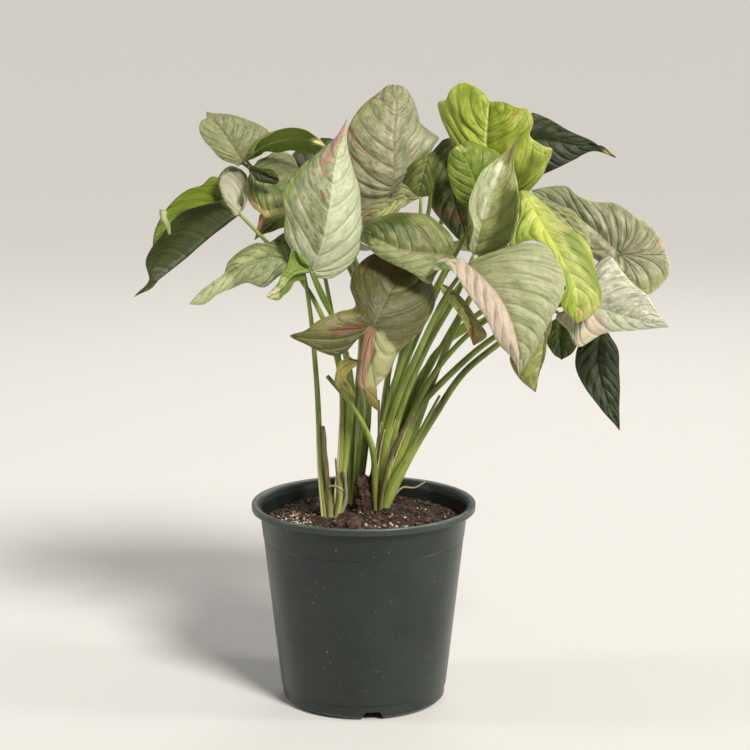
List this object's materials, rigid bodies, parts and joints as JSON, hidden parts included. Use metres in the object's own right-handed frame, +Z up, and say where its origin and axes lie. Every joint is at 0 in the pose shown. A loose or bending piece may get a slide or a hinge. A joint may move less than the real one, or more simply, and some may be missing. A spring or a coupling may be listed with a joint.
{
  "type": "potted plant",
  "caption": "House plant with variegated arrowhead leaves on long stalks, standing in a round tapered nursery pot filled with soil.",
  "frame": {"origin": "on the pot's axis, in the plane that the pot stands on", "axes": "+Z up along the pot's axis; -Y towards the side that the picture shows; +X to the right in the picture"},
  "size_m": [0.3703, 0.2244, 0.4416],
  "materials": {
    "leaf_green": "satin leaf, variegated",
    "leaf_sage": "satin leaf, variegated",
    "leaf_lime": "satin leaf, variegated",
    "leaf_cream": "satin leaf, variegated",
    "leaf_dark": "satin leaf, variegated",
    "leaf_silver": "satin leaf, variegated",
    "leaf_olive": "satin leaf, variegated",
    "leaf_straw": "satin leaf, variegated",
    "stem": "smooth green stalk",
    "old_stem": "dry and rough",
    "pot_plastic": "semi-matte moulded plastic",
    "potting_soil": "loose crumbs"
  },
  "bodies": {
    "root": {"blade_arched": "leaf_green", "blade_back_centre": "leaf_sage", "blade_back_left": "leaf_sage", "blade_back_right": "leaf_sage", "blade_behind_front_right": "leaf_lime", "blade_centre": "leaf_sage", "blade_centre_pale": "leaf_cream", "blade_dark_hanging": "leaf_dark", "blade_dark_inner": "leaf_dark", "blade_dark_low": "leaf_dark", "blade_dark_top_right": "leaf_dark", "blade_far_left": "leaf_green", "blade_front_left": "leaf_silver", "blade_front_right": "leaf_sage", "blade_green_inner": "leaf_green", "blade_left_back": "leaf_green", "blade_left_behind": "leaf_sage", "blade_left_inner": "leaf_silver", "blade_lime_hanging": "leaf_lime", "blade_lime_inner": "leaf_lime", "blade_lime_top": "leaf_lime", "blade_low_centre": "leaf_olive", "blade_low_left": "leaf_silver", "blade_low_left_curl": "leaf_lime", "blade_narrow_curl": "leaf_lime", "blade_olive_behind": "leaf_olive", "blade_pale_right": "leaf_cream", "blade_right": "leaf_silver", "blade_top_centre": "leaf_silver", "blade_upper_left": "leaf_silver", "blade_upright_right": "leaf_cream", "blade_withered": "leaf_straw", "crown_back": "stem", "crown_centre": "stem", "crown_left": "stem", "old_stump": "old_stem", "pot": "pot_plastic", "soil": "potting_soil"}
  },
  "joints": []
}
